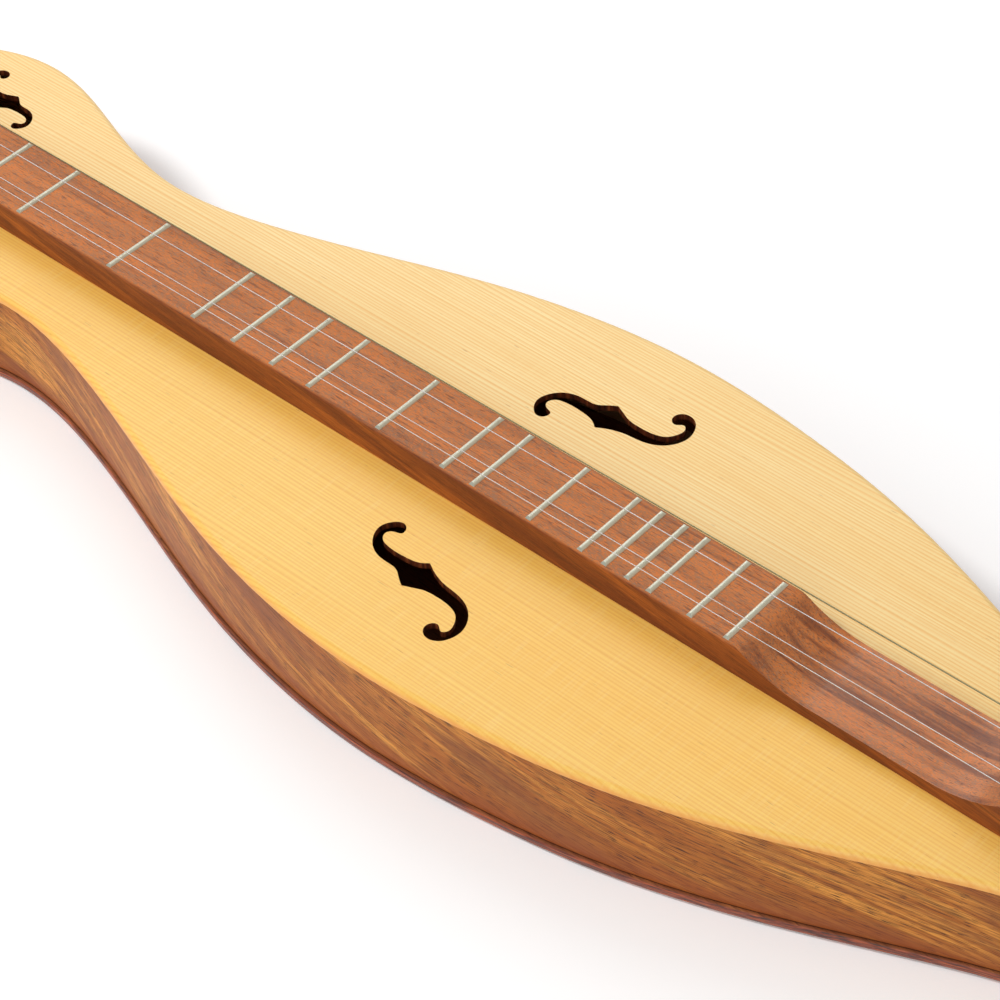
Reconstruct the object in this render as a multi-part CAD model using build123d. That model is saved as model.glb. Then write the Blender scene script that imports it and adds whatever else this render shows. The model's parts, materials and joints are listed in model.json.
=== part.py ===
from build123d import *
import os
from math import atan2, cos, degrees, pi, radians, sin

# Mountain dulcimer: hourglass sound box, full-length fretboard, four strings,
# flat peghead with four worm-geared tuning machines. Millimetres throughout.
#
# It is drawn with X = 0 at the nut, +X towards the tail, +Y towards the bass
# side and Z = 0 on the soundboard. save() moves each piece to the part's own
# frame, whose origin is on the resting surface under the middle of the length.

# ---- lengths along the instrument ---------------------------------------
SCALE_LENGTH = 711.0
BODY_START = -12.0
BODY_END = 766.0
PEGHEAD_END = -150.0

# ---- sound box ------------------------------------------------------------
TOP_THICKNESS = 3.0
SIDE_HEIGHT = 43.0
BACK_THICKNESS = 4.5
SIDE_THICKNESS = 2.5
BACK_OVERHANG = 1.5
TOP_EDGE_RADIUS = 2.6
BACK_EDGE_RADIUS = 1.8
BODY_DEPTH = TOP_THICKNESS + SIDE_HEIGHT + BACK_THICKNESS
SIDE_TOP = -TOP_THICKNESS
SIDE_BOTTOM = SIDE_TOP - SIDE_HEIGHT
LINING_WIDTH = 6.0
LINING_HEIGHT = 7.0
HEAD_BLOCK_LENGTH = 44.0
TAIL_BLOCK_LENGTH = 36.0

# Half of the outline: distance from the nut, half-width there. It runs a little
# past both ends of the body, where it is cut off square.
HALF_OUTLINE = [
    (-32, 25.5), (-12, 27.0), (12, 34), (48, 62), (92, 76), (145, 64), (200, 50.5),
    (250, 56.4), (310, 74.4), (365, 91.4), (410, 100.6), (460, 104.4),
    (515, 100.1), (565, 91), (620, 73.5), (680, 48), (730, 30), (766, 25), (786, 24),
]

OUTLINE_STEPS = 48

# A brace keeps its full height over the middle share of its blank, which is
# longer than the body is wide and is then cut to fit between the linings.
BRACE_WIDTH = 9.0
BRACE_HEIGHT = 9.0
BRACE_END_HEIGHT = 3.0
BRACE_BLANK_REACH = 110.0
BRACE_CREST_SHARE = 0.4
TOP_BRACES = (200.0, 345.0, 600.0)
BACK_BRACES = (120.0, 300.0, 470.0, 630.0)

# ---- sound holes: a long S with a round lobe at each end and two nicks ------
NICK_IN = (450.0, 48.3)
NICK_OUT = (449.5, 63.8)
INNER_LOBE = [
    (446, 51), (440, 52.1), (431, 52), (427, 50.5), (425.5, 47.5), (427.5, 45),
    (430.7, 43.6), (430.2, 40.6), (427.5, 39.2), (423.5, 41.6), (421.4, 46.5),
    (422.6, 51), (427, 56), (434, 58.4), (442, 59), (446.5, 62),
]
OUTER_LOBE = [
    (452.5, 62.6), (457, 60.6), (464, 59.7), (471, 60.2), (476, 62.3),
    (478.6, 66), (479, 70.2), (477.4, 71.6), (474, 69.8), (471.3, 71.2),
    (471.2, 75), (474.5, 77.3), (479, 76.4), (482.4, 72), (483.3, 67.5),
    (481.5, 61.5), (476.5, 56.4), (470, 54), (461, 52.9), (454.5, 50.8),
]
LOWER_HOLE_CENTRE = (452.0, 58.0)
UPPER_HOLE_CENTRE = (96.0, 45.0)
UPPER_HOLE_SCALE = 0.72
NICK_RADIUS = 0.9

# ---- fretboard and frets ----------------------------------------------------
BOARD_WIDTH = 38.0
BOARD_HEIGHT = 15.0
BOARD_EDGE_RADIUS = 1.2
BOARD_START = -14.0
RAMP_HEIGHT = 8.5
RAMP_TOP = 14.0
HOLLOW_START = 576.5
HOLLOW_END = 690.0
HOLLOW_DEPTH = 9.4
HOLLOW_RUN = 30.0
HOLLOW_LIP_RADIUS = 15.0
FRET_SEMITONES = (2, 4, 5, 7, 9, 10, 11, 12, 14, 16, 17, 19, 21, 22, 23, 24, 26, 28)
FRET_LENGTH = 35.6
FRET_WIDTH = 2.7
FRET_CROWN = 1.0
FRET_BEVEL = 0.9
TANG_WIDTH = 0.6
TANG_DEPTH = 1.6
CROWN_PLANE = BOARD_HEIGHT + FRET_CROWN

# ---- nut, bridge and tail strip ---------------------------------------------
NUT_THICKNESS = 4.5
NUT_SLOT_BOTTOM = 11.5
NUT_ACTION = 0.5
BRIDGE_THICKNESS = 3.0
BRIDGE_LENGTH = 36.0
BRIDGE_SLOT_BOTTOM = 11.0
BRIDGE_ACTION = 3.0
GROOVE_COVER = 0.35
SADDLE_ROUNDING = 0.3
TAIL_STRIP_THICKNESS = 3.5
TAIL_STRIP_BOTTOM = 6.0
TAIL_STRIP_TOP = BOARD_HEIGHT + 0.3
TAIL_STRIP_RADIUS = 2.5

# ---- peghead ------------------------------------------------------------------
PEGHEAD_TOP = -6.0
PEGHEAD_BOTTOM = -21.0
HEAD_EDGE_RADIUS = 1.5
HEAD_OUTLINE = [
    (BODY_START, 27), (-25, 25.4), (-42, 30.5), (-85, 31),
    (-116, 29.6), (-138, 18), (PEGHEAD_END, 0),
]
HEEL_START = -38.0
HEEL_END = -16.0
HEEL_RADIUS = 27.0

# ---- strings: name, diameter, Y at nut, Y at bridge, post position ---------------
POST_Y = 18.0
NEAR_POST = -50.0
FAR_POST = -100.0
COURSES = [
    ("bass", 0.61, 16.8, 16.1, NEAR_POST, POST_Y),
    ("middle", 0.36, 7.2, 7.1, FAR_POST, POST_Y),
    ("melody_inner", 0.30, -8.3, -8.2, FAR_POST, -POST_Y),
    ("melody_outer", 0.30, -12.7, -13.3, NEAR_POST, -POST_Y),
]
STRING_POST_Z = 0.3
GROOVE_PLAY = 0.02
STRIP_PLAY = 0.05
PIN_RADIUS = 1.0
PIN_HEAD_RADIUS = 2.0
PIN_HEAD_THICKNESS = 1.0
PIN_HEAD_ROUNDING = 0.45
PIN_OUT = 6.0
PIN_IN = 14.0
PIN_Z = -12.0
LOOP_X = BODY_END + 3.0
TWIST_LENGTH = 12.0
TWIST_FACTOR = 1.7
SADDLE_BEND_RADIUS = 8.0
TAIL_BEND_RADIUS = 2.8

# ---- tuning machine --------------------------------------------------------------
GEAR_TEETH = 14
GEAR_MODULE = 0.8
GEAR_THICKNESS = 2.4
GEAR_PITCH_RADIUS = GEAR_TEETH * GEAR_MODULE / 2
GEAR_TIP_RADIUS = 6.3
GEAR_ROOT_RADIUS = 4.6
TOOTH_TIP_WIDTH = 0.55
TOOTH_ROOT_WIDTH = 1.4
THREAD_PITCH = pi * GEAR_MODULE
THREAD_TURNS = 4
THREAD_TIP_RADIUS = 3.4
THREAD_ROOT_RADIUS = 1.7
THREAD_TIP_WIDTH = 0.45
THREAD_ROOT_WIDTH = 1.05
ROOT_SINK = 0.4
WORM_PITCH_RADIUS = 2.7
WORM_OFFSET = GEAR_PITCH_RADIUS + WORM_PITCH_RADIUS
WORM_Z = -26.0
SHAFT_RADIUS = 1.5
RUNNING_PLAY = 0.05
END_PLAY = 0.3
SHAFT_TAIL = 0.8
COLLAR_RADIUS = 2.6
COLLAR_LENGTH = 2.0
LUG_REACH = 7.2
LUG_THICKNESS = 1.4
LUG_WIDTH = 7.0
LUG_BOTTOM = -29.6
LUG_CORNER = 2.8
PLATE_THICKNESS = 1.2
PLATE_LENGTH = 27.0
PLATE_WIDTH = 20.0
PLATE_SHIFT = -4.0
PLATE_CORNER = 3.5
PLATE_HOLE_RADIUS = 3.3
MOUNT_SCREW_SHIFT = 10.5
SCREW_RADIUS = 1.2
MOUNT_SCREW_LENGTH = 8.0
MOUNT_SCREW_HEAD = (2.1, 1.0)
GEAR_SCREW_LENGTH = 5.0
GEAR_SCREW_HEAD = (2.9, 1.2)
SCREW_SLOT = 0.6
POST_RADIUS = 3.0
POST_WAIST_RADIUS = 2.6
POST_SPIGOT_RADIUS = 2.0
POST_TOP = 7.0
POST_CHAMFER = 0.6
POST_WAIST_TOP = 4.2
POST_WAIST_BOTTOM = -2.4
STRING_HOLE_RADIUS = 0.7
STRING_HOLE_Z = 3.4
POST_SHOULDER = WORM_Z + GEAR_THICKNESS / 2
BUSHING_RADIUS = 4.0
BUSHING_FLANGE_RADIUS = 5.5
BUSHING_FLANGE = 1.2
BUSHING_LENGTH = 9.0
BUTTON_START = 34.5
BUTTON_LENGTH = 15.0
BUTTON_HEIGHT = 18.0
BUTTON_THICKNESS = 7.0
BUTTON_EDGE_RADIUS = 2.9
BUTTON_NECK_START = 32.5
BUTTON_NECK_LENGTH = 5.0
BUTTON_NECK_RADIUS = 3.0
SHAFT_END = BUTTON_START + 0.6 * BUTTON_LENGTH
WINDING_TURNS = 3
WINDING_GAP = 0.3

# Longer than the whole instrument, for blocks and drills that cut right through.
FAR = 1000.0

FRAME_SHIFT = Location((-(PEGHEAD_END + BODY_END + PIN_OUT) / 2, 0, BODY_DEPTH))
SIDES = (("treble", -1), ("bass", 1))


def save(name, shape):
    """Write one named piece in the part's own frame."""
    export_step(FRAME_SHIFT * shape, f"parts/{name}.step")


def slab(x_from, x_to, y_from, y_to, z_from, z_to):
    """A rectangular block between six planes."""
    size = Box(x_to - x_from, y_to - y_from, z_to - z_from)
    return Pos((x_from + x_to) / 2, (y_from + y_to) / 2, (z_from + z_to) / 2) * size


def half_of(shape, side):
    """Keep the treble (-1) or bass (+1) half of a piece."""
    y_from, y_to = sorted((0.0, side * FAR))
    return shape & slab(-FAR, FAR, y_from, y_to, -FAR, FAR)


# ---- sound box ------------------------------------------------------------------
def half_outline(inset):
    """The bass side's outline curve, moved inwards by inset along its normal."""
    curve = Spline(*HALF_OUTLINE)
    points = []
    for step in range(OUTLINE_STEPS + 1):
        place = step / OUTLINE_STEPS
        heading = curve % place
        points.append(curve @ place + Vector(heading.Y, -heading.X) * inset)
    return Spline(*points) if inset else curve


def plan(inset, x_from, x_to):
    """The body's outline, drawn in by inset and cut off square at x_from and x_to."""
    curve = half_outline(inset)
    ends = [Line(point, (point.X, -point.Y)) for point in (curve @ 0, curve @ 1)]
    face = make_face([curve, mirror(curve, about=Plane.XZ)] + ends)
    middle = (x_from + x_to) / 2
    return face & Pos(middle, 0) * Rectangle(x_to - x_from, FAR)


def body_layer(inset, x_from, x_to, z_from, z_to):
    """A slice of the body between two heights."""
    return Pos(0, 0, z_from) * extrude(plan(inset, x_from, x_to), z_to - z_from)


def long_edges(shape, z):
    """The two curved outline edges that lie at one height."""
    level = shape.edges().filter_by(lambda edge: abs(edge.center().Z - z) < STRIP_PLAY)
    return level.sort_by(SortBy.LENGTH)[-2:]


def sound_hole(centre, scale, flip, side):
    """One sound hole, moved from the lower bout's drawing to its own centre."""
    inner = Spline(NICK_IN, *INNER_LOBE, NICK_OUT)
    outer = Spline(NICK_OUT, *OUTER_LOBE, NICK_IN)
    face = make_face([inner, outer])
    face = Pos(-LOWER_HOLE_CENTRE[0], -LOWER_HOLE_CENTRE[1]) * face
    if flip:
        face = mirror(face, about=Plane.YZ)
    face = Pos(*centre) * face.scale(scale)
    if side < 0:
        face = mirror(face, about=Plane.XZ)
    cutter = extrude(face, 2 * TOP_THICKNESS, both=True)
    return fillet(cutter.edges().filter_by(Axis.Z), NICK_RADIUS)


def make_soundboard():
    board = body_layer(0, BODY_START, BODY_END, SIDE_TOP, 0)
    board = fillet(long_edges(board, 0), TOP_EDGE_RADIUS)
    for _, side in SIDES:
        board -= sound_hole(LOWER_HOLE_CENTRE, 1.0, False, side)
        board -= sound_hole(UPPER_HOLE_CENTRE, UPPER_HOLE_SCALE, True, side)
    return board


def make_back():
    back = body_layer(-BACK_OVERHANG, BODY_START, BODY_END + BACK_OVERHANG, -BODY_DEPTH, SIDE_BOTTOM)
    back = fillet(long_edges(back, -BODY_DEPTH), BACK_EDGE_RADIUS)
    return fillet(long_edges(back, SIDE_BOTTOM), BACK_EDGE_RADIUS / 2)


def make_ring(inset, thickness, x_from, x_to, z_from, z_to):
    """A wall of even thickness that follows the outline."""
    outer = body_layer(inset, x_from, x_to, z_from, z_to)
    return outer - body_layer(inset + thickness, x_from, x_to, z_from, z_to)


def make_brace(x, z_foot, rise):
    """A cross brace that tapers towards both ends; rise is +1 up, -1 down."""
    half = BRACE_BLANK_REACH
    full = half * BRACE_CREST_SHARE
    feather = z_foot + rise * BRACE_END_HEIGHT
    crest = z_foot + rise * BRACE_HEIGHT
    outline = [(-half, z_foot), (half, z_foot), (half, feather), (full, crest),
               (-full, crest), (-half, feather)]
    face = Plane.YZ.offset(x) * make_face(Polyline(*outline, close=True))
    bar = extrude(face, BRACE_WIDTH / 2, both=True)
    z_low, z_high = sorted((z_foot, crest))
    reach = SIDE_THICKNESS + LINING_WIDTH
    return bar & body_layer(reach, x - BRACE_WIDTH, x + BRACE_WIDTH, z_low, z_high)


def make_sound_box():
    save("soundboard", make_soundboard())
    save("back_board", make_back())
    walls = make_ring(0, SIDE_THICKNESS, BODY_START, BODY_END, SIDE_BOTTOM, SIDE_TOP)
    head_end = BODY_START + HEAD_BLOCK_LENGTH
    tail_start = BODY_END - TAIL_BLOCK_LENGTH
    save("head_block", body_layer(SIDE_THICKNESS, BODY_START, head_end, SIDE_BOTTOM, SIDE_TOP))
    tail_block = body_layer(SIDE_THICKNESS, tail_start, BODY_END, SIDE_BOTTOM, SIDE_TOP)
    save("tail_block", tail_block - hitch_pin_shanks())
    inner = (SIDE_THICKNESS, LINING_WIDTH, head_end, tail_start)
    top_lining = make_ring(*inner, SIDE_TOP - LINING_HEIGHT, SIDE_TOP)
    back_lining = make_ring(*inner, SIDE_BOTTOM, SIDE_BOTTOM + LINING_HEIGHT)
    for name, side in SIDES:
        save(f"side_{name}", half_of(walls, side))
        save(f"top_lining_{name}", half_of(top_lining, side))
        save(f"back_lining_{name}", half_of(back_lining, side))
    for number, x in enumerate(TOP_BRACES, 1):
        save(f"top_brace_{number}", make_brace(x, SIDE_TOP, -1))
    for number, x in enumerate(BACK_BRACES, 1):
        save(f"back_brace_{number}", make_brace(x, SIDE_BOTTOM, 1))


# ---- fretboard ------------------------------------------------------------------
def fret_position(semitones):
    return SCALE_LENGTH * (1 - 2 ** (-semitones / 12))


def board_profile():
    """Side view: ramp behind the nut, full height, scooped strum hollow, full height."""
    floor = BOARD_HEIGHT - HOLLOW_DEPTH
    scoop = (HOLLOW_RUN ** 2 + HOLLOW_DEPTH ** 2) / (2 * HOLLOW_DEPTH)
    lips = [(HOLLOW_START, BOARD_HEIGHT), (HOLLOW_END, BOARD_HEIGHT)]
    foot_start, foot_end = (HOLLOW_START + HOLLOW_RUN, floor), (HOLLOW_END - HOLLOW_RUN, floor)
    face = make_face([
        Polyline(foot_start, foot_end),
        RadiusArc(foot_end, lips[1], -scoop),
        Polyline(lips[1], (BODY_END, BOARD_HEIGHT), (BODY_END, 0), (BOARD_START, 0),
                 (BOARD_START, RAMP_HEIGHT), (-NUT_THICKNESS, RAMP_TOP),
                 (-NUT_THICKNESS, BOARD_HEIGHT), lips[0]),
        RadiusArc(lips[0], foot_start, -scoop),
    ])
    corners = [corner for corner in face.vertices() if (corner.X, corner.Y) in lips]
    return fillet(corners, HOLLOW_LIP_RADIUS)


def make_fretboard():
    half = BOARD_WIDTH / 2
    blank = slab(BOARD_START, BODY_END, -half, half, 0, BOARD_HEIGHT)
    rims = blank.edges().filter_by(Axis.X).group_by(Axis.Z)[-1]
    blank = fillet(rims, BOARD_EDGE_RADIUS)
    board = blank & extrude(Plane.XZ * board_profile(), BOARD_WIDTH, both=True)
    for semitones in FRET_SEMITONES:
        x = fret_position(semitones)
        board -= slab(x - TANG_WIDTH / 2, x + TANG_WIDTH / 2, -FRET_LENGTH / 2,
                      FRET_LENGTH / 2, BOARD_HEIGHT - TANG_DEPTH, BOARD_HEIGHT)
    board -= slab(-NUT_THICKNESS, 0, -half, half, NUT_SLOT_BOTTOM, BOARD_HEIGHT)
    bridge_end = SCALE_LENGTH + BRIDGE_THICKNESS
    board -= slab(SCALE_LENGTH, bridge_end, -BRIDGE_LENGTH / 2, BRIDGE_LENGTH / 2,
                  BRIDGE_SLOT_BOTTOM, BOARD_HEIGHT)
    strip_start = BODY_END - TAIL_STRIP_THICKNESS
    return board - slab(strip_start, BODY_END, -half, half, TAIL_STRIP_BOTTOM, BOARD_HEIGHT)


def make_fret(x):
    """A domed crown on a tang, with bevelled ends."""
    half, base = FRET_WIDTH / 2, BOARD_HEIGHT
    crown = make_face([
        ThreePointArc((-half, base), (0, base + FRET_CROWN), (half, base)),
        Line((half, base), (-half, base)),
    ])
    tang = Pos(0, base - TANG_DEPTH / 2) * Rectangle(TANG_WIDTH, TANG_DEPTH)
    bar = extrude(Plane.XZ * (crown + tang), FRET_LENGTH / 2, both=True)
    reach = FRET_LENGTH / 2
    bevel = [(-reach, base - TANG_DEPTH), (reach, base - TANG_DEPTH), (reach, base),
             (reach - FRET_BEVEL, base + FRET_CROWN), (FRET_BEVEL - reach, base + FRET_CROWN),
             (-reach, base)]
    envelope = extrude(Plane.YZ * make_face(Polyline(*bevel, close=True)), FRET_WIDTH, both=True)
    return Pos(x, 0, 0) * (bar & envelope)


def make_saddle(x_from, x_to, length, z_bottom, z_top):
    """A nut or bridge blank with its two long top edges rounded over."""
    blank = slab(x_from, x_to, -length / 2, length / 2, z_bottom, z_top)
    ridge = blank.edges().filter_by(Axis.Y).group_by(Axis.Z)[-1]
    return fillet(ridge, (x_to - x_from) * SADDLE_ROUNDING)


def make_tail_strip():
    half = BOARD_WIDTH / 2
    blank = slab(BODY_END - TAIL_STRIP_THICKNESS, BODY_END, -half, half,
                 TAIL_STRIP_BOTTOM, TAIL_STRIP_TOP)
    corner = blank.edges().filter_by(Axis.Y).group_by(Axis.Z)[-1].sort_by(Axis.X)[-1]
    return fillet(corner, TAIL_STRIP_RADIUS)


# ---- strings ----------------------------------------------------------------------
def string_path(course):
    """The route of one string: post, nut, bridge, tail corner, hitch pin."""
    _, diameter, y_nut, y_bridge, post_x, post_y = course
    radius = diameter / 2
    inward = -1 if post_y > 0 else 1
    heading = degrees(atan2(post_y - y_nut, -post_x))
    reach = POST_WAIST_RADIUS + WINDING_GAP + radius
    touch_x = post_x - inward * reach * sin(radians(heading))
    touch_y = post_y + inward * reach * cos(radians(heading))
    nut_x, bridge_x = -NUT_THICKNESS / 2, SCALE_LENGTH + BRIDGE_THICKNESS / 2
    return [
        (touch_x, touch_y, STRING_POST_Z),
        (nut_x, y_nut, CROWN_PLANE + NUT_ACTION + radius),
        (bridge_x, y_bridge, CROWN_PLANE + BRIDGE_ACTION + radius),
        (BODY_END + STRIP_PLAY + radius, y_bridge, TAIL_STRIP_TOP + radius),
        (LOOP_X, y_bridge, PIN_Z + PIN_RADIUS + radius),
    ]


def make_string(course, extra=0.0):
    """A round wire along its route; extra widens it to cut a groove."""
    radius = course[1] / 2 + extra
    bends = [SADDLE_BEND_RADIUS, SADDLE_BEND_RADIUS, TAIL_BEND_RADIUS]
    *route, pin_top = string_path(course)
    path = FilletPolyline(*route, twist_start(route[-1], pin_top), radius=bends)
    return sweep(Plane(path @ 0, z_dir=path % 0) * Circle(radius), path)


def twist_start(corner, pin_top):
    """Where the string's twisted end begins, above its pin."""
    corner, pin_top = Vector(corner), Vector(pin_top)
    return pin_top + (corner - pin_top).normalized() * TWIST_LENGTH


def make_loop_end(course):
    """The twisted tail of a string and its loop round the hitch pin."""
    _, diameter, _, y_bridge, _, _ = course
    radius = diameter / 2
    corner, pin_top = (Vector(point) for point in string_path(course)[-2:])
    axis = (corner - pin_top).normalized()
    twist = extrude(Plane(pin_top, z_dir=axis) * Circle(radius * TWIST_FACTOR), TWIST_LENGTH)
    loop = Pos(LOOP_X, y_bridge, PIN_Z) * Rot(0, 90, 0) * Torus(PIN_RADIUS + radius, radius)
    return twist + loop


def hitch_pins():
    pins = []
    for course in COURSES:
        shank = Cylinder(PIN_RADIUS - GROOVE_PLAY, PIN_IN + PIN_OUT)
        head = Cylinder(PIN_HEAD_RADIUS, PIN_HEAD_THICKNESS)
        head = fillet(head.edges().group_by(Axis.Z)[-1], PIN_HEAD_ROUNDING)
        pin = shank + Pos(0, 0, (PIN_IN + PIN_OUT - PIN_HEAD_THICKNESS) / 2) * head
        centre = BODY_END + (PIN_OUT - PIN_IN) / 2
        pins.append(Pos(centre, course[3], PIN_Z) * Rot(0, 90, 0) * pin)
    return pins


def hitch_pin_shanks():
    """The four holes that the hitch pins are driven into."""
    holes = []
    for course in COURSES:
        bore = Cylinder(PIN_RADIUS - GROOVE_PLAY, 2 * PIN_IN)
        holes.append(Pos(BODY_END, course[3], PIN_Z) * Rot(0, 90, 0) * bore)
    return holes


def make_neck_pieces():
    frets = [make_fret(fret_position(semitones)) for semitones in FRET_SEMITONES]
    nut_top = CROWN_PLANE + NUT_ACTION + GROOVE_COVER
    bridge_top = CROWN_PLANE + BRIDGE_ACTION + GROOVE_COVER
    bridge_end = SCALE_LENGTH + BRIDGE_THICKNESS
    nut = make_saddle(-NUT_THICKNESS, 0, BOARD_WIDTH, NUT_SLOT_BOTTOM, nut_top)
    bridge = make_saddle(SCALE_LENGTH, bridge_end, BRIDGE_LENGTH, BRIDGE_SLOT_BOTTOM, bridge_top)
    tail_strip = make_tail_strip()
    fretboard = make_fretboard()
    for course in COURSES:
        groove = make_string(course, GROOVE_PLAY)
        nut -= groove
        bridge -= groove
        tail_strip -= groove
        save(f"string_{course[0]}", make_string(course) + make_loop_end(course))
    save("fretboard", fretboard)
    save("frets", Compound(frets))
    save("nut", nut)
    save("bridge", bridge)
    save("tail_strip", tail_strip)
    save("hitch_pins", Compound(hitch_pins()))


# ---- peghead ------------------------------------------------------------------------
def make_peghead():
    """A flat paddle on a swept heel that meets the body's end."""
    other_half = [(x, -y) for x, y in reversed(HEAD_OUTLINE[:-1])]
    edge = Spline(*HEAD_OUTLINE, *other_half)
    face = make_face([edge, Line(edge @ 1, edge @ 0)])
    thickness = PEGHEAD_TOP - PEGHEAD_BOTTOM
    paddle = extrude(Pos(0, 0, PEGHEAD_BOTTOM) * face, thickness, dir=(0, 0, 1))
    rim = paddle.edges().group_by(Axis.Z)[-1].sort_by(Axis.X)[0]
    head = fillet(rim, HEAD_EDGE_RADIUS)
    profile = make_face([
        Polyline((HEEL_START, PEGHEAD_BOTTOM), (BODY_START, PEGHEAD_BOTTOM),
                 (BODY_START, SIDE_BOTTOM), (HEEL_END, SIDE_BOTTOM)),
        RadiusArc((HEEL_END, SIDE_BOTTOM), (HEEL_START, PEGHEAD_BOTTOM), HEEL_RADIUS),
    ])
    block = extrude(Pos(0, 0, SIDE_BOTTOM) * face, SIDE_HEIGHT, dir=(0, 0, 1))
    head += block & extrude(Plane.XZ * profile, FAR, both=True)
    for _, _, _, _, x, y in COURSES:
        head -= Pos(x, y, 0) * Cylinder(BUSHING_RADIUS, FAR)
        for screw_x in mount_screw_places(x):
            bore = Cylinder(SCREW_RADIUS, 2 * MOUNT_SCREW_LENGTH)
            head -= Pos(screw_x, y, PEGHEAD_BOTTOM) * bore
    return head


def mount_screw_places(post_x):
    return [post_x + PLATE_SHIFT + shift for shift in (-MOUNT_SCREW_SHIFT, MOUNT_SCREW_SHIFT)]


# ---- tuning machines ---------------------------------------------------------------
def make_gear(x, y):
    """Spur gear on the post, a gap facing the worm."""
    gear = Cylinder(GEAR_ROOT_RADIUS, GEAR_THICKNESS)
    root = GEAR_ROOT_RADIUS - ROOT_SINK
    tooth_outline = [(root, -TOOTH_ROOT_WIDTH / 2), (GEAR_ROOT_RADIUS, -TOOTH_ROOT_WIDTH / 2),
                     (GEAR_TIP_RADIUS, -TOOTH_TIP_WIDTH / 2), (GEAR_TIP_RADIUS, TOOTH_TIP_WIDTH / 2),
                     (GEAR_ROOT_RADIUS, TOOTH_ROOT_WIDTH / 2), (root, TOOTH_ROOT_WIDTH / 2)]
    tooth = extrude(make_face(Polyline(*tooth_outline, close=True)), GEAR_THICKNESS / 2, both=True)
    for number in range(GEAR_TEETH):
        gear += Rot(0, 0, 360 * (number + 0.5) / GEAR_TEETH) * tooth
    gear -= Cylinder(POST_SPIGOT_RADIUS, 2 * GEAR_THICKNESS)
    return Pos(x, y, WORM_Z) * gear


def make_worm(x, y, side):
    """Right-handed worm between its two lugs, with the shaft that carries the button."""
    path = Helix(THREAD_PITCH, THREAD_PITCH * THREAD_TURNS, THREAD_ROOT_RADIUS)
    inner, outer = THREAD_ROOT_RADIUS - ROOT_SINK, THREAD_TIP_RADIUS
    section = [(inner, -THREAD_ROOT_WIDTH / 2), (outer, -THREAD_TIP_WIDTH / 2),
               (outer, THREAD_TIP_WIDTH / 2), (inner, THREAD_ROOT_WIDTH / 2)]
    profile = Plane.XZ * make_face(Polyline(*section, close=True))
    thread = sweep(profile, path, is_frenet=True)
    worm = Pos(0, 0, -THREAD_PITCH * THREAD_TURNS / 2) * thread
    lug_inside = LUG_REACH - LUG_THICKNESS / 2 - END_PLAY
    worm += Cylinder(THREAD_ROOT_RADIUS, 2 * lug_inside)
    near = -(LUG_REACH + LUG_THICKNESS / 2 + SHAFT_TAIL)
    far = SHAFT_END - abs(y)
    journal = Pos(0, 0, side * (near + far) / 2) * Cylinder(SHAFT_RADIUS, far - near)
    collar_from = LUG_REACH + LUG_THICKNESS / 2 + END_PLAY
    collar_z = side * (collar_from + COLLAR_LENGTH / 2)
    collar = Pos(0, 0, collar_z) * Cylinder(COLLAR_RADIUS, COLLAR_LENGTH)
    return Pos(x, y, WORM_Z) * Rot(-90, 0, 0) * (worm + journal + collar)


def make_button(x, side):
    """An oval thumb button on a short neck."""
    blade = extrude(Ellipse(BUTTON_HEIGHT / 2, BUTTON_LENGTH / 2), BUTTON_THICKNESS / 2, both=True)
    blade = fillet(blade.edges(), BUTTON_EDGE_RADIUS)
    blade = Rot(0, 90, 0) * blade
    blade_y = side * (BUTTON_START + BUTTON_LENGTH / 2)
    neck_y = side * (BUTTON_NECK_START + BUTTON_NECK_LENGTH / 2)
    neck = Rot(90, 0, 0) * Cylinder(BUTTON_NECK_RADIUS, BUTTON_NECK_LENGTH)
    button = Pos(x, blade_y, WORM_Z) * blade + Pos(x, neck_y, WORM_Z) * neck
    bore = Rot(90, 0, 0) * Cylinder(SHAFT_RADIUS, SHAFT_END)
    return button - Pos(x, side * SHAFT_END / 2, WORM_Z) * bore


def make_plate(x, y):
    """Base plate with two lugs that carry the worm shaft."""
    top = PEGHEAD_BOTTOM
    base = RectangleRounded(PLATE_LENGTH, PLATE_WIDTH, PLATE_CORNER)
    plate = Pos(x + PLATE_SHIFT, y, top - PLATE_THICKNESS) * extrude(base, PLATE_THICKNESS)
    worm_x = x - WORM_OFFSET
    for lug_side in (-1, 1):
        lug_y = y + lug_side * LUG_REACH
        lug = slab(worm_x - LUG_WIDTH / 2, worm_x + LUG_WIDTH / 2, lug_y - LUG_THICKNESS / 2,
                   lug_y + LUG_THICKNESS / 2, LUG_BOTTOM, top - PLATE_THICKNESS / 2)
        feet = lug.edges().filter_by(Axis.Y).group_by(Axis.Z)[0]
        plate += fillet(feet, LUG_CORNER)
    plate -= Pos(worm_x, y, WORM_Z) * Rot(90, 0, 0) * Cylinder(SHAFT_RADIUS + RUNNING_PLAY, FAR)
    plate -= Pos(x, y, top) * Cylinder(PLATE_HOLE_RADIUS, FAR)
    for screw_x in mount_screw_places(x):
        plate -= Pos(screw_x, y, top) * Cylinder(SCREW_RADIUS, FAR)
    return plate


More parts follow.
